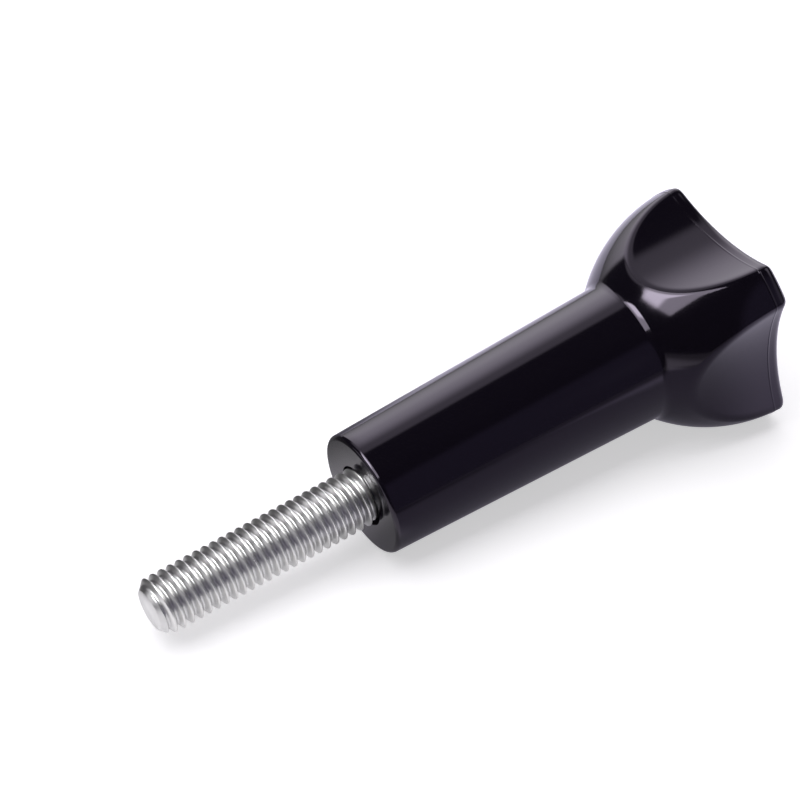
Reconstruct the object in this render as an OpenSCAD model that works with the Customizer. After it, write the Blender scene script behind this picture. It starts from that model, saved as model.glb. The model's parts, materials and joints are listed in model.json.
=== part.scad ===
// Long thumb screw: a scalloped knob and its tapered shank, moulded in one
// piece over a steel bolt whose M5 thread stands out of the shank's end.
// The screw lies at rest on the rim of its shank and on two lobes of its knob.
// Every station is measured in mm along the screw's axis, from the thread's tip.

/* [Threaded bolt] */
// Nominal diameter of the thread
thread_d = 5; // [4:0.5:8]
// Length of the thread that stands out of the shank
thread_length = 20; // [12:0.1:40]
// Chamfer at the thread's tip, the same along the axis and across it
tip_chamfer = 0.75; // [0.2:0.05:1.2]
// Diameter of the plain core inside the moulding, as a rolled thread leaves it
core_d = 4.5; // [3.5:0.1:4.9]
// Width across the flats of the buried hexagon head
anchor_width = 8; // [7:0.1:10]
// Height of the buried hexagon head
anchor_height = 3.5; // [2.5:0.1:5]
// Angle of the chamfer on the head's six corners
anchor_bevel = 30; // [15:1:40]
// Depth of plastic behind the buried head
anchor_cover = 3.6; // [2:0.1:6]
// Clearance of the plastic round the plain core
core_gap = 0.02; // [0:0.01:0.1]
// Clearance round the thread's size in the mouth of the shank, where the thread ends
mouth_gap = 0.2; // [0.05:0.05:0.5]
// Depth of the mouth
mouth_depth = 0.8; // [0.4:0.1:2]

/* [Shank] */
// Length of the shank, from its end face to the knob
shank_length = 26.6; // [15:0.1:60]
// Diameter of the shank at its end face
shank_face_d = 10.7; // [9:0.1:14]
// Diameter of the shank where it meets the knob
shank_neck_d = 12.3; // [10:0.1:16]
// Rounding of the rim round the end face
rim_round = 0.4; // [0.2:0.05:1]
// Fillet between the shank and the knob
neck_fillet = 1.1; // [0.2:0.05:2]

/* [Knob] */
// Diameter over the lobes at the widest place of the bowl
knob_d = 21.1; // [17:0.1:30]
// Length of the knob, from the shank to its flat end
knob_length = 10.7; // [9:0.1:20]
// Distance from the flat end to the bowl's widest place
widest_inset = 0.3; // [0:0.1:2]
// Rounding of the edge round the flat end
edge_round = 0.8; // [0.3:0.05:1.5]
// Number of lobes, with a scallop between each two
lobe_count = 4; // [3:1:5]
// Height of the scallops' floors above the shank's neck
scallop_rise = 1.35; // [0.5:0.05:2]
// Radius of the scallops
scallop_radius = 16.9; // [10:0.1:25]

/* [Hidden] */
$fn = 180;
// Reach of a cutting shape past the surface that it cuts
over = 1;
// Depth by which the fillet's ends dip into the surfaces that it joins
fillet_sink = 0.002;

thread_r = thread_d / 2;
core_r = core_d / 2;
neck_r = shank_neck_d / 2;
face_r = shank_face_d / 2;
knob_r = knob_d / 2;

// Stations along the axis
face_s = thread_length;
neck_s = face_s + shank_length;
end_s = neck_s + knob_length;
widest_s = end_s - widest_inset;
anchor_s = end_s - anchor_cover - anchor_height;

// Circle across the hexagon head's corners
anchor_corner_r = anchor_width / 2 / cos(30);

// The bowl's arc leaves the neck and is level at the knob's widest place
bowl_rise = knob_r - neck_r;
bowl_run = widest_s - neck_s;
bowl_radius = (bowl_run ^ 2 + bowl_rise ^ 2) / (2 * bowl_rise);
bowl_centre = [knob_r - bowl_radius, widest_s];

// Slope of the shank's side
taper = atan((neck_r - face_r) / shank_length);
function shank_r(s) = neck_r + (s - neck_s) * tan(taper);

// Centre of the rim's rounding, which meets the end face and the shank's side
rim_s = face_s + rim_round;
rim_centre = [shank_r(rim_s) - rim_round / cos(taper), rim_s];

// Centre of the neck's fillet, clear of the shank's side and the bowl by its radius
neck_reach = neck_r + neck_fillet / cos(taper) - bowl_centre.x;
neck_a = 1 + tan(taper) ^ 2;
neck_b = 2 * (tan(taper) * neck_reach - bowl_run);
neck_c = neck_reach ^ 2 + bowl_run ^ 2 - (bowl_radius + neck_fillet) ^ 2;
neck_step = (-neck_b - sqrt(neck_b ^ 2 - 4 * neck_a * neck_c)) / (2 * neck_a);
fillet_centre = [
    shank_r(neck_s + neck_step) + neck_fillet / cos(taper),
    neck_s + neck_step
];

// Centre of the end edge's rounding, inside the bowl and the flat end
edge_s = end_s - edge_round;
edge_centre = [
    bowl_centre.x + sqrt((bowl_radius - edge_round) ^ 2 - (edge_s - widest_s) ^ 2),
    edge_s
];

// Each scallop is part of a cylinder that lies beside the screw
scallop_offset = neck_r + scallop_rise + scallop_radius;

// Distance below the axis of the point where a circle of radius r round the
// axis meets a circle of radius cut round the lowest scallop's centre
function crossing_drop(r, cut) =
    (r ^ 2 + scallop_offset ^ 2 - cut ^ 2) / (2 * scallop_offset);

// Lowest point of the lobes at a station of the bowl
function bowl_r(s) = bowl_centre.x + sqrt(bowl_radius ^ 2 - (s - widest_s) ^ 2);
function lobe_drop(s) =
    bowl_r(s) < neck_r + scallop_rise ? bowl_r(s) : crossing_drop(bowl_r(s), scallop_radius);

// The surface under the screw touches the rim's rounding and the lobes, so its
// slope is the steepest line from that rounding to a low point of the lobes
rest_step = 0.05;
function rest_angle(s) =
    atan2(lobe_drop(s) - rim_centre.x, s - rim_s)
    - asin(rim_round / norm([lobe_drop(s) - rim_centre.x, s - rim_s]));
rest_tilt = max([for (s = [neck_s : rest_step : edge_s]) rest_angle(s)]);
tip_z = rim_centre.x * cos(rest_tilt) + rim_round - rim_s * sin(rest_tilt);

// Furthest reach each way along the surface, which the origin halves
end_drop = crossing_drop(edge_centre.x, scallop_radius + edge_round);
tip_reach = (thread_r - tip_chamfer) * sin(rest_tilt);
end_reach = end_s * cos(rest_tilt) + end_drop * sin(rest_tilt);
tip_x = -(end_reach - tip_reach) / 2;

// Lays the screw's axis along +X, tilted as it rests
module lay_down() {
    translate([tip_x, 0, tip_z])
        rotate([0, 90 - rest_tilt, 0])
            children();
}

// Point at a distance from one point towards another
function towards(from, to, reach) = from + (to - from) * reach / norm(to - from);

// Half section of the shank with its rounded rim, run on into the knob
module shank_profile() {
    rim_tangent = rim_centre + rim_round * [cos(taper), -sin(taper)];
    polygon([
        [0, face_s],
        [rim_centre.x, face_s],
        rim_centre,
        rim_tangent,
        [shank_r(neck_s + over), neck_s + over],
        [0, neck_s + over]
    ]);
    translate(rim_centre)
        circle(rim_round);
}

// Half section of the bowl, from inside the shank up to the flat end
module bowl_profile() {
    intersection() {
        translate(bowl_centre)
            circle(bowl_radius);
        translate([0, neck_s - over])
            square([knob_r + over, knob_length + over]);
    }
}

// Fill between the shank's side and the bowl, hollowed by the fillet's circle
module neck_fillet_profile() {
    difference() {
        polygon([
            fillet_centre,
            fillet_centre - (neck_fillet + over) * [cos(taper), -sin(taper)],
            towards(fillet_centre, bowl_centre, neck_fillet + over)
        ]);
        translate(fillet_centre)
            circle(neck_fillet + fillet_sink);
    }
}

// Corner outside the rounding of the end edge
module edge_waste_profile() {
    difference() {
        polygon([
            edge_centre,
            towards(bowl_centre, edge_centre, bowl_radius),
            [knob_r + over, edge_s - over],
            [knob_r + over, end_s + over],
            [edge_centre.x, end_s + over]
        ]);
        translate(edge_centre)
            circle(edge_round);
    }
}

// The moulding before its scallops are cut
module handle_blank() {
    rotate_extrude()
        difference() {
            union() {
                shank_profile();
                bowl_profile();
            }
            edge_waste_profile();
        }
    rotate_extrude()
        neck_fillet_profile();
}

// Waste of one scallop, flared so that its end edge is rounded too
module scallop_waste() {
    rotate_extrude() {
        translate([0, neck_s - over])
            square([scallop_radius, knob_length + 2 * over]);
        difference() {
            translate([scallop_radius - over, edge_s])
                square([edge_round + over, edge_round + over]);
            translate([scallop_radius + edge_round, edge_s])
                circle(edge_round);
        }
    }
}

// Hexagon head with its corners bevelled, buried in the knob
module anchor_head() {
    bevel = (anchor_corner_r - anchor_width / 2) * tan(anchor_bevel);
    translate([0, 0, anchor_s])
        intersection() {
            cylinder(h = anchor_height, r = anchor_corner_r, $fn = 6);
            rotate_extrude()
                polygon([
                    [0, 0],
                    [anchor_corner_r, 0],
                    [anchor_corner_r, anchor_height - bevel],
                    [anchor_width / 2, anchor_height],
                    [0, anchor_height]
                ]);
        }
}

// Space that the bolt takes in the moulding, wider in the mouth at the end face
module bolt_bed() {
    translate([0, 0, face_s - over])
        cylinder(h = mouth_depth + over, r = thread_r + mouth_gap);
    translate([0, 0, face_s])
        cylinder(h = anchor_s - face_s + over, r = core_r + core_gap);
    anchor_head();
}

// One moulding: the scalloped knob, its long shank and the bed of the bolt
module handle() {
    color([0.03, 0.028, 0.035])
        lay_down()
            difference() {
                handle_blank();
                for (turn = [0 : lobe_count - 1])
                    rotate([0, 0, turn * 360 / lobe_count])
                        translate([scallop_offset, 0, 0])
                            scallop_waste();
                bolt_bed();
            }
}

// One bolt: the thread at its major diameter, the plain core and the head
module threaded_bolt() {
    color([0.78, 0.78, 0.79])
        lay_down() {
            rotate_extrude()
                polygon([
                    [0, 0],
                    [thread_r - tip_chamfer, 0],
                    [thread_r, tip_chamfer],
                    [thread_r, face_s],
                    [core_r, face_s],
                    [core_r, anchor_s],
                    [0, anchor_s]
                ]);
            anchor_head();
        }
}

handle();
threaded_bolt();
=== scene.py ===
"""Dresses a long thumb screw: a glossy black moulding on a bright steel bolt."""
import json
import logging
import math
from dataclasses import dataclass, field
from enum import Enum

import bmesh
import bpy
import numpy as np
from mathutils import Matrix, Vector


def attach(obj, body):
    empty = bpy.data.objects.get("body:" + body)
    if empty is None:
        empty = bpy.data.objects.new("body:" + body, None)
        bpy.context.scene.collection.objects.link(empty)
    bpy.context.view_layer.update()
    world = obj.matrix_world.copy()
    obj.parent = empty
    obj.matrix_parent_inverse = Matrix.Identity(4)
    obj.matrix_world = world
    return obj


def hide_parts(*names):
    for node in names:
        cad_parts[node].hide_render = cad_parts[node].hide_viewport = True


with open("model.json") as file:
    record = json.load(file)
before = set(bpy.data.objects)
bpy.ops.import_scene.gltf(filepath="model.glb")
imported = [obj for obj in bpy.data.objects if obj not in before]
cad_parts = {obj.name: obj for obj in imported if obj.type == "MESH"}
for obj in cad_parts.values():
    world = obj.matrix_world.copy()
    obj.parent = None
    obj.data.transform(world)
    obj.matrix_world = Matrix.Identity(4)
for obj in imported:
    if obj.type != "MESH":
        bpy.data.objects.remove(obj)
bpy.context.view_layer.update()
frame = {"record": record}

LOG = logging.getLogger("thumb_screw")

# Metres in a millimetre
MM = 0.001
FULL_TURN = 2 * math.pi
# Middle of a span or a square that runs from 0 to 1
MIDDLE = 0.5

# Red, green, blue and alpha
Colour = tuple[float, float, float, float]
# Where a change starts and where it ends
Span = tuple[float, float]

WHITE: Colour = (1.0, 1.0, 1.0, 1.0)


class ThreadHand(Enum):
    """Which way a thread turns, as the sign of its angle along the axis."""

    RIGHT = 1
    LEFT = -1


class Slot(Enum):
    """The record's material slots."""

    PLASTIC = "moulded_plastic"
    STEEL = "plated_steel"


def thread_mount(record: dict) -> dict:
    """Finds the mount at the screw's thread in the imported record."""
    return next(m for m in record["mounts"] if m["name"] == "thread")


@dataclass(frozen=True)
class ScrewPlace:
    """Where the screw's own axes lie in the row frame, in metres."""

    tip: Vector
    along: Vector

    @classmethod
    def from_record(cls, record: dict, tip_chamfer: float) -> "ScrewPlace":
        """Finds the screw's axis from the mount at its thread.

        Args:
            record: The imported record.
            tip_chamfer: Length of the tip's chamfer in mm, which the mount leaves out.

        Returns:
            The place of the thread's tip and the direction from it to the knob.
        """
        mount = thread_mount(record)
        along = -Vector(mount["axis"]).normalized()
        middle = tip_chamfer + mount["dims"]["length_mm"] / 2
        return cls(Vector(mount["pos_m"]) - along * middle * MM, along)

    def matrix(self) -> Matrix:
        """Gives the matrix from the screw's mm, down, side and along, to the row frame.

        Returns:
            The matrix that lays a mesh in its place.
        """
        side = Vector((0, 1, 0))
        down = side.cross(self.along)
        turn = Matrix((down, side, self.along)).transposed().to_4x4()
        return Matrix.Translation(self.tip) @ turn @ Matrix.Scale(MM, 4)


class NodeWriter:
    """Writes nodes into one node tree."""

    def __init__(self, tree: bpy.types.NodeTree) -> None:
        """Keeps the tree that the nodes go into."""
        self.tree = tree

    def feed(self, socket: bpy.types.NodeSocket, value: object) -> None:
        """Links an output to a socket, or sets the socket's own value.

        Args:
            socket: The input to feed.
            value: An output socket, or a plain value.
        """
        if isinstance(value, bpy.types.NodeSocket):
            self.tree.links.new(value, socket)
        else:
            socket.default_value = value

    def add(self, kind: str, inputs: dict | None = None, **settings: object) -> bpy.types.Node:
        """Adds a node.

        Args:
            kind: The node's type in Blender.
            inputs: What goes into its sockets, by name or by number.
            settings: The node's own properties.

        Returns:
            The new node.
        """
        node = self.tree.nodes.new(kind)
        for name, value in settings.items():
            setattr(node, name, value)
        for name, value in (inputs or {}).items():
            self.feed(node.inputs[name], value)
        return node

    def math(self, operation: str, *values: object) -> bpy.types.NodeSocket:
        """Adds a math node and gives its output.

        Args:
            operation: The name of the operation.
            values: Its operands, as output sockets or numbers.

        Returns:
            The node's output.
        """
        node = self.add("ShaderNodeMath", dict(enumerate(values)), operation=operation)
        return node.outputs[0]

    def product(self, *values: object) -> bpy.types.NodeSocket:
        """Multiplies two or more values.

        Args:
            values: The factors, as output sockets or numbers.

        Returns:
            The product's output.
        """
        result = values[0]
        for value in values[1:]:
            result = self.math("MULTIPLY", result, value)
        return result

    def ramp(
        self, value: object, span: Span, levels: tuple[object, object] = (0.0, 1.0), soft: bool = True
    ) -> bpy.types.NodeSocket:
        """Goes from one level to another while a value crosses a span.

        Args:
            value: The value's output.
            span: Where the change starts and ends, in the value's own unit.
            levels: The level before it and the level past it.
            soft: Whether the change starts and ends gently.

        Returns:
            The level's output.
        """
        node = self.add(
            "ShaderNodeMapRange",
            {
                "Value": value,
                "From Min": span[0],
                "From Max": span[1],
                "To Min": levels[0],
                "To Max": levels[1],
            },
            interpolation_type="SMOOTHSTEP" if soft else "LINEAR",
        )
        return node.outputs["Result"]

    def step(
        self, value: object, edge: Span, levels: tuple[object, object] = (0.0, 1.0)
    ) -> bpy.types.NodeSocket:
        """Goes softly from one level to another between two places, in mm.

        Args:
            value: The place's output, in metres.
            edge: Where the change starts and ends.
            levels: The level before it and the level past it.

        Returns:
            The level's output.
        """
        return self.ramp(value, (edge[0] * MM, edge[1] * MM), levels)

    def mix(self, share: object, low: object, high: object) -> bpy.types.NodeSocket:
        """Mixes two colours.

        Args:
            share: How much of the second colour there is.
            low: The first colour.
            high: The second colour.

        Returns:
            The mixed colour's output.
        """
        node = self.add("ShaderNodeMix", data_type="RGBA")
        sockets = [s for s in node.inputs if s.enabled]
        for socket, value in zip(sockets, (share, low, high)):
            self.feed(socket, value)
        return next(s for s in node.outputs if s.enabled)

    def noise(self, point: object, size: float, detail: float) -> bpy.types.NodeSocket:
        """Adds a fine unevenness.

        Args:
            point: The point's output, on Object coordinates.
            size: The size of its coarsest grains, in mm.
            detail: How many finer layers it has.

        Returns:
            The output of its strength.
        """
        node = self.add("ShaderNodeTexNoise", {"Vector": point, "Scale": 1 / (size * MM), "Detail": detail})
        return node.outputs["Fac"]

    def bump(self, height: object, rise: float) -> bpy.types.NodeSocket:
        """Adds a bump.

        Args:
            height: The output that it follows.
            rise: Its full height, in mm.

        Returns:
            The output of the bumped normal.
        """
        node = self.add("ShaderNodeBump", {"Height": height, "Distance": rise * MM})
        return node.outputs["Normal"]

    def place(self) -> bpy.types.bpy_prop_collection:
        """Gives the outputs X, Y and Z of the point's place on Object coordinates, in metres."""
        point = self.add("ShaderNodeTexCoord").outputs["Object"]
        return self.add("ShaderNodeSeparateXYZ", {0: point}).outputs


def empty_nodes(owner: bpy.types.Material | bpy.types.Light | bpy.types.World) -> NodeWriter:
    """Empties the nodes of a material, a lamp or the world.

    Args:
        owner: What the nodes belong to.

    Returns:
        The writer of its nodes.
    """
    owner.use_nodes = True
    owner.node_tree.nodes.clear()
    return NodeWriter(owner.node_tree)


class RingShell:
    """A closed shell of rings round the screw's axis, with a flat cap at each end."""

    def __init__(self, columns: int) -> None:
        """Starts an empty shell with the same number of points in each ring."""
        self.angles = np.linspace(0, FULL_TURN, columns, endpoint=False)
        self.rings: list[np.ndarray] = []

    def add(self, station: float, radii: np.ndarray | float) -> None:
        """Adds a ring.

        Args:
            station: Its distance along the axis.
            radii: Its radius, for each angle or for all.
        """
        radii = np.broadcast_to(radii, self.angles.shape)
        across = radii * np.cos(self.angles)
        aside = radii * np.sin(self.angles)
        self.rings.append(np.stack([across, aside, np.full_like(across, station)], axis=1))

    def mesh(self, name: str) -> bpy.types.Mesh:
        """Joins the rings to a mesh.

        Args:
            name: The mesh's name.

        Returns:
            The closed mesh, in mm on the screw's own axes.
        """
        columns = len(self.angles)
        points = np.concatenate(self.rings)
        here = np.arange(columns)
        following = (here + 1) % columns
        faces = []
        for first in range(0, len(points) - columns, columns):
            quads = np.stack(
                [first + here, first + following, first + columns + following, first + columns + here],
                axis=1,
            )
            faces.extend(quads.tolist())
        for ring in (0, len(self.rings) - 1):
            centre = len(points)
            points = np.vstack([points, self.rings[ring].mean(axis=0) * (0, 0, 1)])
            start = ring * columns
            faces.extend([[start + a, start + b, centre] for a, b in zip(here, following)])
        mesh = bpy.data.meshes.new(name)
        mesh.from_pydata(points.tolist(), [], faces)
        return mesh


def finish_mesh(mesh: bpy.types.Mesh, place: ScrewPlace, crisp_angle: float) -> None:
    """Turns a mesh's faces outwards, shades it and moves it to its place.

    Args:
        mesh: The closed mesh, in mm on the screw's own axes.
        place: Where the screw lies.
        crisp_angle: Edges that turn by more than this, in degrees, stay crisp.
    """
    shell = bmesh.new()
    shell.from_mesh(mesh)
    bmesh.ops.recalc_face_normals(shell, faces=shell.faces[:])
    shell.to_mesh(mesh)
    shell.free()
    mesh.transform(place.matrix())
    mesh.shade_smooth()
    mesh.set_sharp_from_angle(angle=math.radians(crisp_angle))
    mesh.update()


def show(mesh: bpy.types.Mesh) -> bpy.types.Object:
    """Puts a mesh in the scene.

    Args:
        mesh: The mesh, already in its place.

    Returns:
        Its object, of the same name.
    """
    piece = bpy.data.objects.new(mesh.name, mesh)
    bpy.context.scene.collection.objects.link(piece)
    return piece


def new_material(name: str) -> tuple[bpy.types.Material, NodeWriter, bpy.types.Node]:
    """Makes a material with nodes.

    Args:
        name: The material's name.

    Returns:
        The material, the writer of its nodes and its principled shader.
    """
    material = bpy.data.materials.new(name)
    material.use_nodes = True
    return material, NodeWriter(material.node_tree), material.node_tree.nodes["Principled BSDF"]


@dataclass(frozen=True)
class BlackPlastic:
    """Glossy black plastic, with the faint unevenness of a moulded skin. Lengths are in mm."""

    colour: Colour = (0.0035, 0.0025, 0.0053, 1.0)
    refraction: float = 1.5
    sheen_tint: Colour = (0.9, 0.8, 1.0, 1.0)
    roughness: Span = (0.075, 0.115)
    mottle_size: float = 1.6
    mottle_detail: float = 3.0
    skin_size: float = 0.35
    skin_detail: float = 2.0
    skin_height: float = 0.0006

    def material(self) -> bpy.types.Material:
        """Makes the material.

        Returns:
            The material.
        """
        material, nodes, shader = new_material("moulded_black_plastic")
        nodes.feed(shader.inputs["Base Color"], self.colour)
        nodes.feed(shader.inputs["IOR"], self.refraction)
        nodes.feed(shader.inputs["Specular Tint"], self.sheen_tint)
        point = nodes.add("ShaderNodeTexCoord").outputs["Object"]
        mottle = nodes.noise(point, self.mottle_size, self.mottle_detail)
        roughness = nodes.ramp(mottle, (0.0, 1.0), self.roughness, soft=False)
        nodes.feed(shader.inputs["Roughness"], roughness)
        skin = nodes.noise(point, self.skin_size, self.skin_detail)
        nodes.feed(shader.inputs["Normal"], nodes.bump(skin, self.skin_height))
        return material


@dataclass(frozen=True)
class PlatedSteel:
    """Bright plated steel, with the fine marks of a rolled thread and painted shade in its roots. Lengths
    are in mm.
    """

    colour: Colour = (0.7, 0.7, 0.69, 1.0)
    # Painted shade: the darker colour of the thread's roots
    root_shade_colour: Colour = (0.6, 0.6, 0.6, 1.0)
    root_radius: float = 2.05
    crest_radius: float = 2.4
    roughness: Span = (0.25, 0.33)
    mark_size: float = 0.8
    mark_detail: float = 4.0
    mark_height: float = 0.002

    def from_axis(self, nodes: NodeWriter, point: object, screw: ScrewPlace) -> bpy.types.NodeSocket:
        """Gives the distance of a point from the screw's axis.

        Args:
            nodes: The writer of the material's nodes.
            point: The point's output, on Object coordinates.
            screw: Where the screw lies.

        Returns:
            The distance's output, in metres.
        """
        arm = nodes.add("ShaderNodeVectorMath", {0: point, 1: screw.tip}, operation="SUBTRACT")
        across = nodes.add(
            "ShaderNodeVectorMath", {0: arm.outputs["Vector"], 1: screw.along}, operation="CROSS_PRODUCT"
        )
        reach = nodes.add("ShaderNodeVectorMath", {0: across.outputs["Vector"]}, operation="LENGTH")
        return reach.outputs["Value"]

    def material(self, screw: ScrewPlace) -> bpy.types.Material:
        """Makes the material, with painted shade that darkens the thread's roots.

        Args:
            screw: Where the screw lies.

        Returns:
            The material.
        """
        material, nodes, shader = new_material("bright_plated_steel")
        nodes.feed(shader.inputs["Metallic"], 1.0)
        point = nodes.add("ShaderNodeTexCoord").outputs["Object"]
        # Painted shade: the base colour darkens from the crests down into the thread's roots
        flank = (self.root_radius * MM, self.crest_radius * MM)
        bright = nodes.ramp(self.from_axis(nodes, point, screw), flank, soft=False)
        nodes.feed(shader.inputs["Base Color"], nodes.mix(bright, self.root_shade_colour, self.colour))
        marks = nodes.noise(point, self.mark_size, self.mark_detail)
        nodes.feed(shader.inputs["Roughness"], nodes.ramp(marks, (0.0, 1.0), self.roughness, soft=False))
        nodes.feed(shader.inputs["Normal"], nodes.bump(marks, self.mark_height))
        return material


def soft_least(first: np.ndarray, second: np.ndarray, blend: float) -> np.ndarray:
    """Takes the lesser of two heights, with the edge between them rounded off.

    Args:
        first: One height for each point.
        second: The other height for each point.
        blend: Difference in height within which the edge is rounded.

    Returns:
        The rounded lesser height, nowhere above the true one.
    """
    nearness = np.maximum(blend - np.abs(first - second), 0) / blend
    return np.minimum(first, second) - nearness**2 * blend / 4


@dataclass
class Bed:
    """The buried part of the bolt and its space in the moulding.

    Lengths are in mm, stations along the screw's axis, and the head's bevel in degrees.
    """

    face: float = 20.0
    mouth_depth: float = 0.8
    mouth_radius: float = 2.7
    core_radius: float = 2.25
    core_gap: float = 0.02
    head_start: float = 50.2
    head_height: float = 3.5
    head_width: float = 8.0
    head_bevel: float = 30.0
    bevel_rings: int = 4

    def hexagon(self, angles: np.ndarray) -> np.ndarray:
        """Gives the hexagon head's radius at each angle."""
        side = FULL_TURN / 6
        return self.head_width / 2 / np.cos(angles % side - side / 2)

    def add_head(self, shell: RingShell) -> None:
        """Adds the rings of the hexagon head with its bevelled corners.

        Args:
            shell: The shell that the rings go into.
        """
        hexagon = self.hexagon(shell.angles)
        flat = self.head_width / 2
        bevel = (hexagon.max() - flat) * math.tan(math.radians(self.head_bevel))
        end = self.head_start + self.head_height
        shell.add(self.head_start, hexagon)
        for share in np.linspace(0, 1, self.bevel_rings + 1):
            cone = hexagon.max() - share * (hexagon.max() - flat)
            shell.add(end - bevel * (1 - share), np.minimum(hexagon, cone))


@dataclass
class Handle:
    """The moulded knob and shank. Lengths are in mm, stations along the screw's axis.

    Edges that turn by more than crisp_angle, in degrees, stay crisp.
    """

    bed: Bed
    shank_length: float = 26.6
    shank_face_radius: float = 5.35
    shank_neck_radius: float = 6.15
    rim_round: float = 0.4
    neck_fillet: float = 1.1
    knob_radius: float = 10.55
    knob_length: float = 10.7
    widest_inset: float = 0.3
    edge_round: float = 0.8
    lobe_count: int = 4
    scallop_rise: float = 1.35
    scallop_radius: float = 16.9
    parting_inset: float = 1.35
    parting_width: float = 0.2
    parting_rise: float = 0.028
    edge_blend: float = 0.45
    crisp_angle: float = 40.0
    columns: int = 480
    bowl_rings: int = 100
    line_rings: int = 7
    round_rings: int = 12
    shank_rings: int = 14
    flat_rings: tuple[float, ...] = (0.3, 0.7, 0.97)
    neck: float = field(init=False)
    end: float = field(init=False)
    widest: float = field(init=False)
    bowl_arc: float = field(init=False)
    bowl_middle: float = field(init=False)
    taper: float = field(init=False)
    scallop_offset: float = field(init=False)

    def __post_init__(self) -> None:
        """Works out the stations and the bowl's arc, as the part's source does."""
        self.neck = self.bed.face + self.shank_length
        self.end = self.neck + self.knob_length
        self.widest = self.end - self.widest_inset
        rise = self.knob_radius - self.shank_neck_radius
        run = self.widest - self.neck
        self.bowl_arc = (run**2 + rise**2) / (2 * rise)
        self.bowl_middle = self.knob_radius - self.bowl_arc
        self.taper = math.atan((self.shank_neck_radius - self.shank_face_radius) / self.shank_length)
        self.scallop_offset = self.shank_neck_radius + self.scallop_rise + self.scallop_radius

    def shank_radius(self, station: float) -> float:
        """Gives the radius of the shank's side, or of its line run on, at a station."""
        return self.shank_neck_radius + (station - self.neck) * math.tan(self.taper)

    def bowl_radius(self, station: float) -> float:
        """Gives the radius of the bowl's arc at a station."""
        return self.bowl_middle + math.sqrt(self.bowl_arc**2 - (station - self.widest) ** 2)

    def scalloped(self, radius: float, flare: float, angles: np.ndarray) -> np.ndarray:
        """Cuts the scallops from a ring.

        Args:
            radius: The ring's radius before the cut.
            flare: How far the scallops open out there.
            angles: The angles of the ring's points.

        Returns:
            The radius of each point, with the lobes' edges rounded.
        """
        pitch = FULL_TURN / self.lobe_count
        from_scallop = (angles + pitch / 2) % pitch - pitch / 2
        cut = self.scallop_radius + flare
        room = np.maximum(cut**2 - (self.scallop_offset * np.sin(from_scallop)) ** 2, 0)
        floor = self.scallop_offset * np.cos(from_scallop) - np.sqrt(room)
        floor = np.where(room > 0, floor, 2 * self.knob_radius)
        return soft_least(np.full_like(angles, radius), floor, self.edge_blend)

    def parting_line(self, station: float) -> float:
        """Gives the rise of the mould's fine parting line, which runs round the knob.

        Args:
            station: The place along the axis.

        Returns:
            How far the line stands out of the surface there.
        """
        from_line = abs(station - self.end + self.parting_inset) / (self.parting_width / 2)
        return self.parting_rise * max(1 - from_line**2, 0) ** 2

    def add_knob(self, shell: RingShell) -> None:
        """Adds the rings from the knob's flat end down its bowl.

        Args:
            shell: The shell that the rings go into.
        """
        edge = self.end - self.edge_round
        inner_arc = self.bowl_arc - self.edge_round
        edge_centre = self.bowl_middle + math.sqrt(inner_arc**2 - (edge - self.widest) ** 2)
        flat = self.scalloped(edge_centre, self.edge_round, shell.angles)
        for share in self.flat_rings:
            shell.add(self.end, flat * share)
        for turn in np.linspace(math.pi / 2, 0, self.round_rings, endpoint=False):
            radius = edge_centre + self.edge_round * math.cos(turn)
            flare = self.edge_round * (1 - math.cos(turn))
            shell.add(edge + self.edge_round * math.sin(turn), self.scalloped(radius, flare, shell.angles))
        fillet_station, fillet_radius = self.fillet_centre()
        lean = math.atan2(self.widest - fillet_station, fillet_radius - self.bowl_middle)
        bowl_foot = fillet_station + self.neck_fillet * math.sin(lean)
        line = self.end - self.parting_inset
        near_line = line + self.parting_width * np.linspace(-0.5, 0.5, self.line_rings)
        stations = np.append(np.linspace(edge, bowl_foot, self.bowl_rings), near_line)
        for station in np.sort(stations)[::-1]:
            bowl = self.scalloped(self.bowl_radius(station), 0, shell.angles)
            shell.add(station, bowl + self.parting_line(station))
        for turn in np.linspace(lean, self.taper, self.round_rings)[1:]:
            radius = fillet_radius - self.neck_fillet * math.cos(turn)
            shell.add(fillet_station + self.neck_fillet * math.sin(turn), radius)

    def fillet_centre(self) -> tuple[float, float]:
        """Finds the centre of the fillet at the neck.

        Returns:
            Its station and its radius, clear of the shank's side and the bowl alike.
        """
        slope = math.tan(self.taper)
        reach = self.shank_neck_radius + self.neck_fillet / math.cos(self.taper) - self.bowl_middle
        run = self.widest - self.neck
        square = 1 + slope**2
        linear = 2 * (slope * reach - run)
        rest = reach**2 + run**2 - (self.bowl_arc + self.neck_fillet) ** 2
        step = (-linear - math.sqrt(linear**2 - 4 * square * rest)) / (2 * square)
        station = self.neck + step
        return station, self.shank_radius(station) + self.neck_fillet / math.cos(self.taper)

    def add_shank(self, shell: RingShell) -> None:
        """Adds the rings from the neck to the flat end face and its mouth.

        Args:
            shell: The shell that the rings go into.
        """
        rim = self.bed.face + self.rim_round
        rim_centre = self.shank_radius(rim) - self.rim_round / math.cos(self.taper)
        top = self.fillet_centre()[0] + self.neck_fillet * math.sin(self.taper)
        foot = rim - self.rim_round * math.sin(self.taper)
        for station in np.linspace(top, foot, self.shank_rings)[1:]:
            shell.add(station, self.shank_radius(station))
        for turn in np.linspace(self.taper, math.pi / 2, self.round_rings)[1:]:
            station = rim - self.rim_round * math.sin(turn)
            shell.add(station, rim_centre + self.rim_round * math.cos(turn))

    def add_bed(self, shell: RingShell) -> None:
        """Adds the rings of the space that holds the bolt.

        Args:
            shell: The shell that the rings go into.
        """
        bed = self.bed
        bore = bed.core_radius + bed.core_gap
        shell.add(bed.face, bed.mouth_radius)
        shell.add(bed.face + bed.mouth_depth, bed.mouth_radius)
        shell.add(bed.face + bed.mouth_depth, bore)
        shell.add(bed.head_start, bore)
        bed.add_head(shell)

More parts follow.
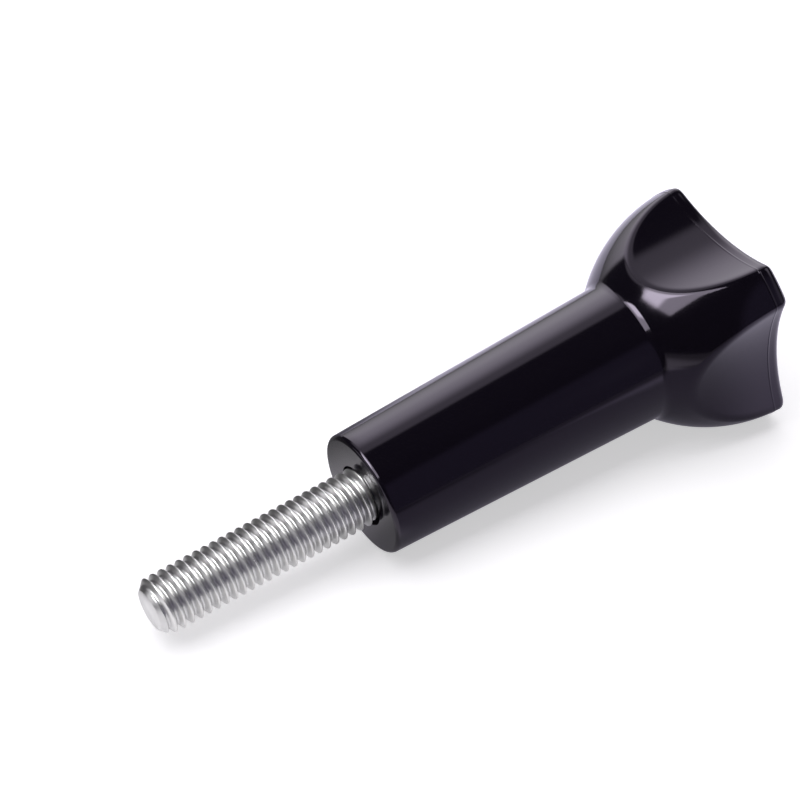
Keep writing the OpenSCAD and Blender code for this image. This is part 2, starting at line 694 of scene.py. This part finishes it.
    def build(self, place: ScrewPlace, finish: BlackPlastic) -> bpy.types.Object:
        """Makes the moulding and dresses it.

        Args:
            place: Where the screw lies.
            finish: The plastic that it is moulded in.

        Returns:
            The finished piece.
        """
        shell = RingShell(self.columns)
        self.add_knob(shell)
        self.add_shank(shell)
        self.add_bed(shell)
        mesh = shell.mesh("moulded_handle")
        finish_mesh(mesh, place, self.crisp_angle)
        mesh.materials.append(finish.material())
        piece = show(mesh)
        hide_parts("handle")
        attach(piece, "root")
        return piece


@dataclass
class ThreadedBolt:
    """The bolt: a rolled thread, a plain core and a hexagon head.

    Lengths are in mm and angles in degrees. A flank rises at flank_angle from the axis,
    and edges that turn by more than crisp_angle stay crisp.
    """

    bed: Bed
    major_radius: float
    length: float
    pitch: float = 0.8
    thread_depth: float = 0.47
    flank_angle: float = 60.0
    crest_flat: float = 0.09
    edge_blend: float = 0.05
    tip_chamfer: float = 0.75
    hand: ThreadHand = ThreadHand.RIGHT
    weld_gap: float = 0.0005
    crisp_angle: float = 50.0
    rows_in_turn: int = 16
    columns: int = 96

    def tree_inputs(self) -> dict[str, float | int]:
        """Gives the thread tree's inputs by name, the whole numbers as int."""
        return {
            "Major Radius": self.major_radius,
            "Length": self.length,
            "Pitch": self.pitch,
            "Thread Depth": self.thread_depth,
            "Flank Slope": math.tan(math.radians(self.flank_angle)),
            "Crest Flat": self.crest_flat,
            "Edge Blend": self.edge_blend,
            "Tip Chamfer": self.tip_chamfer,
            "Weld Gap": self.weld_gap,
            "Hand": self.hand.value,
            "Rows In Turn": self.rows_in_turn,
            "Columns": self.columns,
        }

    def thread_tree(self) -> bpy.types.NodeTree:
        """Writes the geometry nodes of the thread.

        A flat grid is rolled round the axis so that its rows follow the helix. Rows that
        run past an end are gathered in the plane of that end, and are welded there.

        Returns:
            The tree, with one input for each size and one for the material.
        """
        tree = bpy.data.node_groups.new("rolled_thread", "GeometryNodeTree")
        for name, value in self.tree_inputs().items():
            kind = "NodeSocketInt" if isinstance(value, int) else "NodeSocketFloat"
            tree.interface.new_socket(name=name, in_out="INPUT", socket_type=kind)
        tree.interface.new_socket(name="Material", in_out="INPUT", socket_type="NodeSocketMaterial")
        tree.interface.new_socket(name="Geometry", in_out="OUTPUT", socket_type="NodeSocketGeometry")
        nodes = NodeWriter(tree)
        given = nodes.add("NodeGroupInput").outputs
        pitch = given["Pitch"]

        turns = nodes.math("ADD", nodes.math("CEIL", nodes.math("DIVIDE", given["Length"], pitch)), 1)
        rows = nodes.math("ADD", nodes.math("MULTIPLY", turns, given["Rows In Turn"]), 1)
        grid = nodes.add(
            "GeometryNodeMeshGrid",
            {
                "Size X": 1.0,
                "Size Y": 1.0,
                "Vertices X": nodes.add("FunctionNodeFloatToInt", {0: rows}).outputs[0],
                "Vertices Y": nodes.math("ADD", given["Columns"], 1),
            },
        )
        spot = nodes.add("ShaderNodeSeparateXYZ", {0: nodes.add("GeometryNodeInputPosition").outputs[0]})
        along = nodes.math("ADD", spot.outputs["X"], MIDDLE)
        around = nodes.math("ADD", spot.outputs["Y"], MIDDLE)

        row_start = nodes.math("SUBTRACT", nodes.math("MULTIPLY", along, turns), 1)
        helix = nodes.math("MULTIPLY", nodes.math("ADD", row_start, around), pitch)
        station = nodes.math("MINIMUM", nodes.math("MAXIMUM", helix, 0), given["Length"])

        phase = nodes.math("FRACT", nodes.math("SUBTRACT", nodes.math("DIVIDE", station, pitch), around))
        from_middle = nodes.math("ABSOLUTE", nodes.math("SUBTRACT", phase, MIDDLE))
        from_crest = nodes.math("MULTIPLY", from_middle, pitch)
        past_flat = nodes.math("SUBTRACT", from_crest, nodes.math("DIVIDE", given["Crest Flat"], 2))
        flank = nodes.math("MULTIPLY", past_flat, given["Flank Slope"])
        rooted = nodes.math("SMOOTH_MIN", flank, given["Thread Depth"], given["Edge Blend"])
        depth = nodes.math("MAXIMUM", nodes.math("SMOOTH_MAX", rooted, 0.0, given["Edge Blend"]), 0)
        tip_radius = nodes.math("SUBTRACT", given["Major Radius"], given["Tip Chamfer"])
        radius = nodes.math(
            "MINIMUM",
            nodes.math("SUBTRACT", given["Major Radius"], depth),
            nodes.math("ADD", tip_radius, station),
        )

        angle = nodes.product(around, FULL_TURN, given["Hand"])
        rolled = nodes.add(
            "ShaderNodeCombineXYZ",
            {
                "X": nodes.math("MULTIPLY", radius, nodes.math("COSINE", angle)),
                "Y": nodes.math("MULTIPLY", radius, nodes.math("SINE", angle)),
                "Z": station,
            },
        )
        moved = nodes.add(
            "GeometryNodeSetPosition", {"Geometry": grid.outputs["Mesh"], "Position": rolled.outputs[0]}
        )
        welded = nodes.add(
            "GeometryNodeMergeByDistance", {"Geometry": moved.outputs[0], "Distance": given["Weld Gap"]}
        )
        real = nodes.add("GeometryNodeRealizeInstances", {"Geometry": welded.outputs[0]})
        dressed = nodes.add(
            "GeometryNodeSetMaterial", {"Geometry": real.outputs[0], "Material": given["Material"]}
        )
        nodes.add("NodeGroupOutput", {"Geometry": dressed.outputs[0]})
        return tree

    def roll_thread(self, material: bpy.types.Material) -> bpy.types.Mesh:
        """Runs the thread's tree and takes the result as a plain mesh.

        Args:
            material: The finish that the tree sets.

        Returns:
            The thread, open at both ends, in mm on the screw's own axes.
        """
        carrier = show(bpy.data.meshes.new("thread_carrier"))
        modifier = carrier.modifiers.new("thread", "NODES")
        modifier.node_group = self.thread_tree()
        sizes = self.tree_inputs() | {"Material": material}
        for item in modifier.node_group.interface.items_tree:
            if item.in_out == "INPUT":
                modifier[item.identifier] = sizes[item.name]
        evaluated = carrier.evaluated_get(bpy.context.evaluated_depsgraph_get())
        mesh = bpy.data.meshes.new_from_object(evaluated)
        mesh.name = "steel_bolt"
        mesh.materials.clear()
        mesh.materials.append(material)
        carrier.modifiers.remove(modifier)
        bpy.data.objects.remove(carrier)
        return mesh

    def close_ends(self, mesh: bpy.types.Mesh) -> None:
        """Caps the tip and adds the core and the head behind the thread.

        Args:
            mesh: The thread, open at both ends.
        """
        shell = bmesh.new()
        shell.from_mesh(mesh)
        rim = {v for e in shell.edges if e.is_boundary for v in e.verts}
        tip = self.by_angle([v for v in rim if v.co.z < self.length / 2])
        root = self.by_angle([v for v in rim if v.co.z >= self.length / 2])
        shell.faces.new(tip)
        tail = RingShell(self.columns)
        tail.angles = np.array([math.atan2(v.co.y, v.co.x) % FULL_TURN for v in root])
        tail.add(self.length, self.bed.core_radius)
        tail.add(self.bed.head_start, self.bed.core_radius)
        self.bed.add_head(tail)
        last = root
        for ring in tail.rings:
            new = [shell.verts.new(point) for point in ring]
            for here in range(len(new)):
                there = (here + 1) % len(new)
                shell.faces.new((last[here], last[there], new[there], new[here]))
            last = new
        shell.faces.new(last)
        for face in shell.faces:
            face.material_index = 0
        shell.to_mesh(mesh)
        shell.free()

    @staticmethod
    def by_angle(points: list[bmesh.types.BMVert]) -> list[bmesh.types.BMVert]:
        """Sorts the points of one end by their angle round the axis."""
        return sorted(points, key=lambda v: math.atan2(v.co.y, v.co.x) % FULL_TURN)

    def build(self, place: ScrewPlace, finish: PlatedSteel) -> bpy.types.Object:
        """Makes the bolt and dresses it.

        Args:
            place: Where the screw lies.
            finish: The plating on its steel.

        Returns:
            The finished piece.
        """
        mesh = self.roll_thread(finish.material(place))
        self.close_ends(mesh)
        finish_mesh(mesh, place, self.crisp_angle)
        piece = show(mesh)
        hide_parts("threaded_bolt")
        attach(piece, "root")
        return piece


@dataclass(frozen=True)
class PhotoCamera:
    """The photograph's camera, aimed at a place beside the screw.

    Lengths are in mm and angles in degrees.
    """

    elevation: float = 43.15
    bearing: float = 33.46
    distance: float = 254.8
    aim_past_tip: float = 31.93
    aim_aside: float = 12.455
    lens: float = 132.3
    sensor: float = 36.0
    nearest: float = 10.0
    furthest: float = 20000.0

    def build(self, place: ScrewPlace) -> bpy.types.Object:
        """Makes the camera and sets it as the scene's.

        Args:
            place: Where the screw lies.

        Returns:
            The camera.
        """
        up = math.radians(self.elevation)
        turn = math.radians(self.bearing)
        gaze = Vector((math.sin(turn) * math.cos(up), math.cos(turn) * math.cos(up), -math.sin(up)))
        aim = Vector((place.tip.x + self.aim_past_tip * MM, self.aim_aside * MM, 0))
        data = bpy.data.cameras.new("photo_camera")
        data.lens = self.lens
        data.sensor_width = self.sensor
        data.sensor_fit = "HORIZONTAL"
        data.clip_start = self.nearest * MM
        data.clip_end = self.furthest * MM
        camera = bpy.data.objects.new("photo_camera", data)
        camera.location = aim - gaze * self.distance * MM
        camera.rotation_euler = gaze.to_track_quat("-Z", "Y").to_euler()
        bpy.context.scene.collection.objects.link(camera)
        bpy.context.scene.camera = camera
        return camera


@dataclass(frozen=True)
class SoftLamp:
    """A rectangular soft lamp. Its place, target and size are in metres.

    The soft edge is the share of its width and depth over which its glow fades out.
    """

    name: str
    place: tuple[float, float, float]
    target: tuple[float, float, float]
    width: float
    depth: float
    radiance: float
    in_gloss: bool = True
    on_matt: bool = True
    soft_edge: float = 0.0

    def soften(self, data: bpy.types.AreaLight) -> None:
        """Fades the lamp out towards its edges.

        Args:
            data: The lamp's data.
        """
        nodes = empty_nodes(data)
        spot = nodes.add("ShaderNodeNewGeometry").outputs["Parametric"]
        parts = nodes.add("ShaderNodeSeparateXYZ", {0: spot}).outputs
        fades = []
        for part in (parts["X"], parts["Y"]):
            from_middle = nodes.math("ABSOLUTE", nodes.math("SUBTRACT", part, MIDDLE))
            from_edge = nodes.math("SUBTRACT", MIDDLE, from_middle)
            fades.append(nodes.ramp(from_edge, (0.0, self.soft_edge)))
        glow = nodes.add("ShaderNodeEmission", {"Strength": nodes.product(*fades)})
        nodes.add("ShaderNodeOutputLight", {"Surface": glow.outputs[0]})

    def build(self) -> bpy.types.Object:
        """Makes the lamp, which the camera doesn't see.

        Returns:
            The lamp.
        """
        data = bpy.data.lights.new(self.name, "AREA")
        data.shape = "RECTANGLE"
        data.size = self.width
        data.size_y = self.depth
        data.energy = self.radiance * math.pi * self.width * self.depth
        if self.soft_edge:
            self.soften(data)
        lamp = bpy.data.objects.new(self.name, data)
        lamp.location = self.place
        gaze = Vector(self.target) - Vector(self.place)
        lamp.rotation_euler = gaze.to_track_quat("-Z", "Y").to_euler()
        lamp.visible_camera = False
        lamp.visible_glossy = self.in_gloss
        lamp.visible_diffuse = self.on_matt
        bpy.context.scene.collection.objects.link(lamp)
        return lamp


@dataclass(frozen=True)
class WhiteCard:
    """A white card behind the object that only its gloss shows. Lengths are in mm.

    Each fade runs from nothing to the full glow, across X for left and right and up Z for
    low and top. Across dim_above the glow falls to dim_level. Where it is fainter than
    clear_share of the radiance, the card turns clear.
    """

    behind: float = 60.0
    bottom: float = 0.5
    left_fade: Span = (0.0, 7.0)
    right_fade: Span = (156.0, 76.0)
    low_fade: Span = (-11.0, 37.0)
    top_fade: Span = (162.0, 125.0)
    dim_above: Span = (49.0, 98.0)
    dim_level: float = 0.34
    radiance: float = 2.5
    clear_share: float = 0.1
    tint: Colour = (0.97, 0.94, 1.0, 1.0)

    def material(self) -> bpy.types.Material:
        """Makes the glow, with soft edges and a clear back.

        Returns:
            The material.
        """
        material = bpy.data.materials.new("white_card")
        nodes = empty_nodes(material)
        spot = nodes.place()
        strength = nodes.product(
            nodes.step(spot["X"], self.left_fade),
            nodes.step(spot["X"], self.right_fade),
            nodes.step(spot["Z"], self.low_fade),
            nodes.step(spot["Z"], self.top_fade),
            nodes.step(spot["Z"], self.dim_above, (1.0, self.dim_level)),
            self.radiance,
        )
        glow = nodes.add("ShaderNodeEmission", {"Color": self.tint, "Strength": strength})
        clear = nodes.add("ShaderNodeBsdfTransparent")
        share = nodes.ramp(strength, (0.0, self.radiance * self.clear_share), soft=False)
        front = nodes.add("ShaderNodeMixShader", {0: share, 1: clear.outputs[0], 2: glow.outputs[0]})
        backing = nodes.add("ShaderNodeNewGeometry").outputs["Backfacing"]
        both = nodes.add("ShaderNodeMixShader", {0: backing, 1: front.outputs[0], 2: clear.outputs[0]})
        nodes.add("ShaderNodeOutputMaterial", {"Surface": both.outputs[0]})
        return material

    def build(self) -> bpy.types.Object:
        """Makes the card, which lights nothing matt and is hidden from the camera.

        Returns:
            The card.
        """
        left = self.left_fade[0]
        right = self.right_fade[0]
        top = self.top_fade[0]
        corners = [
            (left, self.behind, self.bottom),
            (right, self.behind, self.bottom),
            (right, self.behind, top),
            (left, self.behind, top),
        ]
        mesh = bpy.data.meshes.new("white_card")
        mesh.from_pydata([Vector(corner) * MM for corner in corners], [], [(0, 1, 2, 3)])
        mesh.materials.append(self.material())
        card = show(mesh)
        card.visible_camera = False
        card.visible_diffuse = False
        card.visible_transmission = False
        card.visible_shadow = False
        return card


@dataclass(frozen=True)
class Glow:
    """A round soft glow of the surround, which only gloss shows. Angles are in degrees."""

    bearing: float
    height: float
    inner: float
    outer: float
    colour: tuple[float, float, float]

    def direction(self) -> tuple[float, float, float]:
        """Finds the way to the glow, with its bearing from X towards Y.

        Returns:
            The unit vector towards it.
        """
        turn = math.radians(self.bearing)
        up = math.radians(self.height)
        return (math.cos(turn) * math.cos(up), math.sin(turn) * math.cos(up), math.sin(up))

    def light(self, nodes: NodeWriter, gaze: object) -> bpy.types.NodeSocket:
        """Gives the glow's colour as seen along a direction.

        Args:
            nodes: The writer of the world's nodes.
            gaze: The direction's output.

        Returns:
            The colour's output.
        """
        facing = nodes.add(
            "ShaderNodeVectorMath", {0: gaze, 1: self.direction()}, operation="DOT_PRODUCT"
        )
        rim = (math.cos(math.radians(self.outer)), math.cos(math.radians(self.inner)))
        share = nodes.ramp(facing.outputs["Value"], rim)
        glow = nodes.add("ShaderNodeVectorMath", {0: self.colour, "Scale": share}, operation="SCALE")
        return glow.outputs["Vector"]


@dataclass(frozen=True)
class FloorGloss:
    """How the floor shows in gloss and glass, place by place, with painted shadow and painted light.

    The floor is dim under the screw, a painted shadow of it, and fades out in front of it. It is bright
    behind the knob and right of it, less so on the left and in a corner in front of the thread, and
    dark behind the shank and the thread; these are painted light and painted shade that set what the gloss
    reflects.
    Its colour is cooler beside the moulding, a painted tint of the moulding's reflections. Edges are in mm
    from the origin. The cool, right, left, corner, thread and knob edges are places along X, and the others
    along Y.
    """

    colour: Colour = (0.82, 0.81, 0.825, 1.0)
    cool_colour: Colour = (0.82, 0.78, 0.94, 1.0)
    cool_edge: Span = (-12.0, -4.0)
    under: float = 0.37
    near: float = 1.05
    right: float = 0.88
    left_lift: float = 0.6
    far: float = 0.2
    thread: float = 0.07
    behind: float = 0.95
    front: float = 0.1
    under_edge: Span = (-5.0, 6.0)
    right_edge: Span = (25.0, 34.0)
    left_edge: Span = (-11.0, -16.0)
    corner_edge: Span = (-4.0, -10.0)
    near_corner: Span = (-6.0, -10.0)
    past_corner: Span = (-28.0, -40.0)
    far_edge: Span = (3.0, 13.0)
    thread_edge: Span = (-17.0, -12.0)
    knob_edge: Span = (0.0, 15.0)
    front_edge: Span = (-30.0, -110.0)

    def tint(self, nodes: NodeWriter, along: object) -> bpy.types.NodeSocket:
        """Gives the floor's colour in gloss, cooler beside the moulding than beside the thread, a painted
        tint of the moulding's reflections.

        Args:
            nodes: The writer of the floor's nodes.
            along: The output of the place along X, in metres.

        Returns:
            The colour's output.
        """
        return nodes.mix(nodes.step(along, self.cool_edge), self.colour, self.cool_colour)

    def level(self, nodes: NodeWriter, along: object, away: object) -> bpy.types.NodeSocket:
        """Gives the floor's brightness in gloss, with the screw's painted shadow and painted light and shade
        round it.

        Args:
            nodes: The writer of the floor's nodes.
            along: The output of the place along X, in metres.
            away: The output of the place along Y, in metres.

        Returns:
            The brightness's output.
        """
        # Painted shadow: dim under the screw, lit past it and right of the knob
        lit = nodes.math(
            "MAXIMUM",
            nodes.step(away, self.under_edge, (self.under, self.near)),
            nodes.step(along, self.right_edge, (self.under, self.right)),
        )
        corner = nodes.product(
            nodes.step(along, self.corner_edge, (0.0, self.left_lift)),
            nodes.step(away, self.near_corner),
            nodes.step(away, self.past_corner, (1.0, 0.0)),
        )
        left = nodes.math("MAXIMUM", corner, nodes.step(along, self.left_edge, (0.0, self.left_lift)))
        lifted = nodes.math("MINIMUM", nodes.math("ADD", lit, left), self.near)
        # Painted shade behind the shank and the thread, painted light behind the knob
        dark = nodes.step(along, self.thread_edge, (self.thread / self.near, self.far / self.near))
        behind = nodes.step(along, self.knob_edge, (dark, self.behind / self.near))
        # Painted dimming: the floor in gloss fades out far in front
        return nodes.product(
            lifted,
            nodes.step(away, self.far_edge, (1.0, behind)),
            nodes.step(away, self.front_edge, (1.0, self.front / self.under)),
        )


@dataclass(frozen=True)
class Studio:
    """A pale floor, a pale surround and soft lamps. Lengths are in metres."""

    floor_size: float = 6.0
    floor_colour: Colour = (0.8, 0.79, 0.81, 1.0)
    floor_glow: float = 0.53
    gloss: FloorGloss = FloorGloss()
    card: WhiteCard = WhiteCard()
    fill_colour: Colour = (0.2, 0.19, 0.215, 1.0)
    dim_colour: Colour = (0.045, 0.042, 0.052, 1.0)
    glows: tuple[Glow, ...] = (
        Glow(95.0, 48.0, 12.0, 24.0, (0.8, 0.78, 0.81)),
        Glow(160.0, -2.0, 20.0, 28.0, (0.95, 0.94, 0.96)),
        Glow(292.0, 18.0, 24.0, 34.0, (0.105, 0.095, 0.15)),
        Glow(316.0, 22.0, 12.0, 26.0, (0.3, 0.295, 0.31)),
        Glow(345.0, 47.0, 12.0, 23.0, (1.3, 1.28, 1.33)),
    )
    lamps: tuple[SoftLamp, ...] = (
        SoftLamp(
            "key_panel",
            place=(-0.79, 0.06, 1.0),
            target=(-0.79, 0.06, 0.0),
            width=1.27,
            depth=1.12,
            radiance=4.6,
            on_matt=False,
        ),
        SoftLamp(
            "key_core",
            place=(-0.9, 0.27, 0.99),
            target=(-0.9, 0.27, 0.0),
            width=1.2,
            depth=0.75,
            radiance=8.0,
            on_matt=False,
            soft_edge=0.2,
        ),
        SoftLamp(
            "top_lamp",
            place=(-0.31, 0.22, 1.17),
            target=(-0.31, 0.12, 0.0),
            width=1.9,
            depth=1.08,
            radiance=2.1,
            in_gloss=False,
        ),
    )

    @staticmethod
    def rays(nodes: NodeWriter) -> tuple[bpy.types.NodeSocket, bpy.types.NodeSocket]:
        """Tells the rays apart.

        Args:
            nodes: The writer of the nodes that need to know.

        Returns:
            The outputs that are 1 for the camera's rays, and for those of gloss and glass.
        """
        path = nodes.add("ShaderNodeLightPath").outputs
        mirrored = nodes.math("MAXIMUM", path["Is Glossy Ray"], path["Is Transmission Ray"])
        return path["Is Camera Ray"], mirrored

    def floor_material(self) -> bpy.types.Material:
        """Makes the floor's finish, pale to the camera and as FloorGloss says in gloss.

        Returns:
            The material.
        """
        material = bpy.data.materials.new("pale_floor")
        nodes = empty_nodes(material)
        camera, mirrored = self.rays(nodes)
        spot = nodes.place()
        tint = self.gloss.tint(nodes, spot["X"])
        # The floor in gloss carries the painted shadow, light and tint of FloorGloss
        in_gloss = nodes.product(mirrored, self.gloss.level(nodes, spot["X"], spot["Y"]))
        seen = nodes.math("ADD", nodes.math("SUBTRACT", 1, mirrored), in_gloss)
        colour = nodes.mix(mirrored, self.floor_colour, tint)
        grey = nodes.add("ShaderNodeVectorMath", {0: colour, "Scale": seen}, operation="SCALE")
        matt = nodes.add("ShaderNodeBsdfDiffuse", {"Color": grey.outputs["Vector"]})
        strength = nodes.product(nodes.math("MAXIMUM", camera, in_gloss), self.floor_glow)
        glow = nodes.add(
            "ShaderNodeEmission", {"Color": nodes.mix(mirrored, WHITE, tint), "Strength": strength}
        )
        both = nodes.add("ShaderNodeAddShader", {0: matt.outputs[0], 1: glow.outputs[0]})
        nodes.add("ShaderNodeOutputMaterial", {"Surface": both.outputs[0]})
        return material

    def build_floor(self) -> bpy.types.Object:
        """Makes the floor, which keeps the object's shadow on a near-white ground.

        Returns:
            The floor.
        """
        half = self.floor_size / 2
        mesh = bpy.data.meshes.new("floor")
        corners = [(-half, -half, 0), (half, -half, 0), (half, half, 0), (-half, half, 0)]
        mesh.from_pydata(corners, [], [(0, 1, 2, 3)])
        mesh.materials.append(self.floor_material())
        floor = show(mesh)
        return floor

    def build_surround(self) -> None:
        """Makes the world.

        It is white to the camera. Gloss and glass show a dim room with a few soft glows.
        For all else it is a weak fill light.
        """
        world = bpy.data.worlds.new("surround")
        bpy.context.scene.world = world
        nodes = empty_nodes(world)
        camera, mirrored = self.rays(nodes)
        gaze = nodes.add("ShaderNodeTexCoord").outputs["Generated"]
        room = self.dim_colour[:3]
        for glow in self.glows:
            room = nodes.add("ShaderNodeVectorMath", {0: room, 1: glow.light(nodes, gaze)}).outputs["Vector"]
        unseen = nodes.mix(mirrored, self.fill_colour, room)
        colour = nodes.mix(camera, unseen, WHITE)
        sky = nodes.add("ShaderNodeBackground", {"Color": colour, "Strength": 1.0})
        nodes.add("ShaderNodeOutputWorld", {"Surface": sky.outputs[0]})

    def build(self) -> None:
        """Makes the whole studio and keeps the plain view transform."""
        self.build_floor()
        self.build_surround()
        self.card.build()
        for lamp in self.lamps:
            lamp.build()
        bpy.context.scene.view_settings.view_transform = "Standard"


def main() -> None:
    """Builds the screw, the camera and the studio, and reports each piece."""
    logging.basicConfig(level=logging.INFO, format="%(name)s: %(message)s")
    thread = thread_mount(frame["record"])
    bed = Bed()
    bolt = ThreadedBolt(bed, major_radius=thread["dims"]["r_mm"], length=bed.face)
    place = ScrewPlace.from_record(frame["record"], bolt.tip_chamfer)
    pieces = [
        Handle(bed).build(place, BlackPlastic()),
        bolt.build(place, PlatedSteel()),
    ]
    for piece in pieces:
        LOG.info("%s has %d faces", piece.name, len(piece.data.polygons))
    PhotoCamera().build(place)
    Studio().build()


if __name__ == "__main__":
    main()
